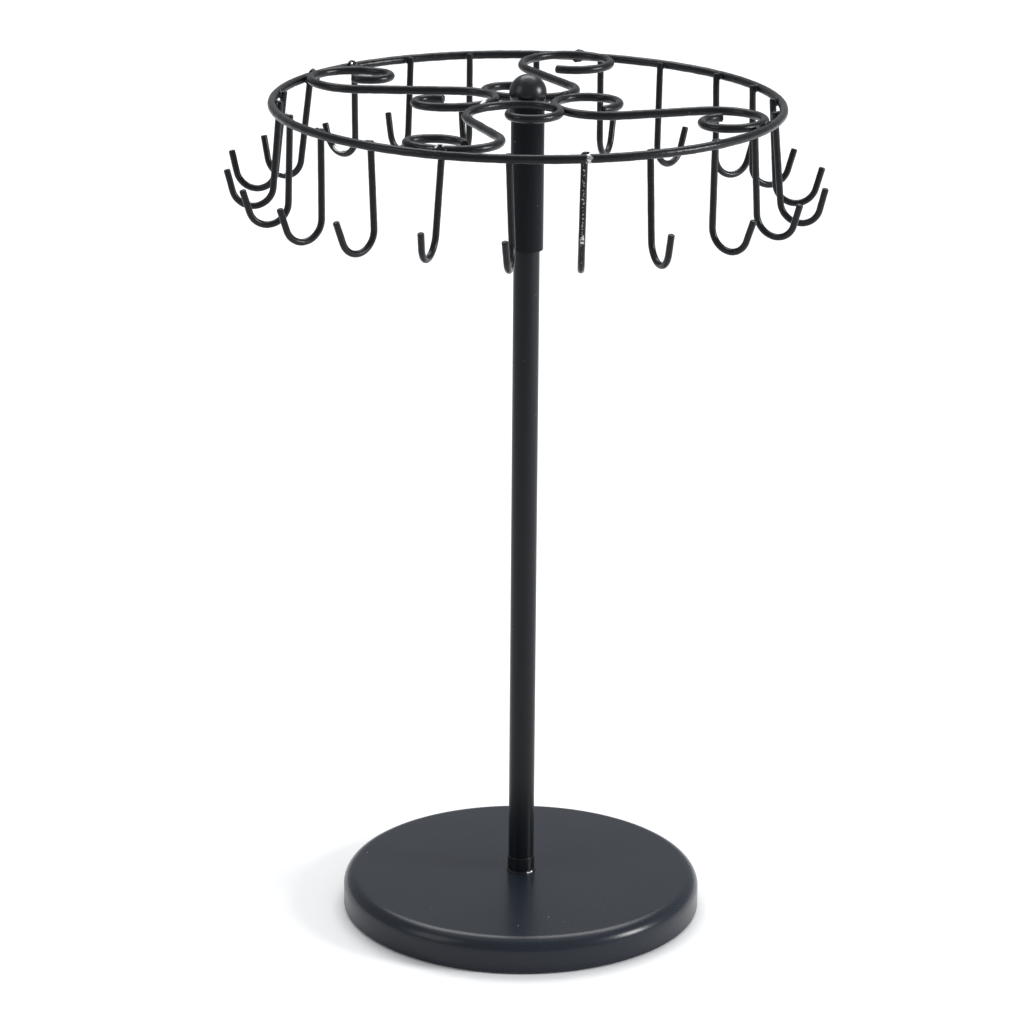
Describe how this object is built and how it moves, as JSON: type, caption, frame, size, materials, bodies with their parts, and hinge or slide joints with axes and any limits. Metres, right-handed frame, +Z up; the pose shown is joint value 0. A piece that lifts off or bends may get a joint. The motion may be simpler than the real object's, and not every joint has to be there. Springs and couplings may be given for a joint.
{
  "type": "rotating hook stand",
  "caption": "Free-standing rotating hook stand: weighted round base, slim pole, and a hoop of J-hooks carried on four scrolls that turns on the pole.",
  "frame": {"origin": "middle of the pad's underside, on the surface the stand rests on", "axes": "+Z up along the pole; +Y towards the scroll called back; +X towards the scroll called right"},
  "size_m": [0.2416, 0.2373, 0.3574],
  "materials": {
    "base_paint": "satin charcoal paint on a cast disc",
    "pole_paint": "satin black paint",
    "wire_paint": "satin black paint over wire, lightly lumpy at the welds",
    "pad_foam": "matt foam rubber",
    "nylon": "natural nylon"
  },
  "bodies": {
    "stand": {"base_disc": "base_paint", "base_pad": "pad_foam", "pole_tube": "pole_paint", "foot_ferrule": "pole_paint", "pivot_cap": "nylon"},
    "carousel": {"hub_sleeve": "pole_paint", "ball_finial": "pole_paint", "hoop_ring": "wire_paint", "scroll_left": "wire_paint", "scroll_front": "wire_paint", "scroll_right": "wire_paint", "scroll_back": "wire_paint", "hook_01": "wire_paint", "hook_02": "wire_paint", "hook_03": "wire_paint", "hook_04": "wire_paint", "hook_05": "wire_paint", "hook_06": "wire_paint", "hook_07": "wire_paint", "hook_08": "wire_paint", "hook_09": "wire_paint", "hook_10": "wire_paint", "hook_11": "wire_paint", "hook_12": "wire_paint", "hook_13": "wire_paint", "hook_14": "wire_paint", "hook_15": "wire_paint", "hook_16": "wire_paint", "hook_17": "wire_paint", "hook_18": "wire_paint", "hook_19": "wire_paint", "hook_20": "wire_paint", "hook_21": "wire_paint", "hook_22": "wire_paint"}
  },
  "joints": [
    {"name": "carousel_spin", "type": "hinge", "parent": "stand", "child": "carousel", "pos_m": [0, 0, 0.3385], "axis": [0, 0, 1], "continuous": true}
  ]
}
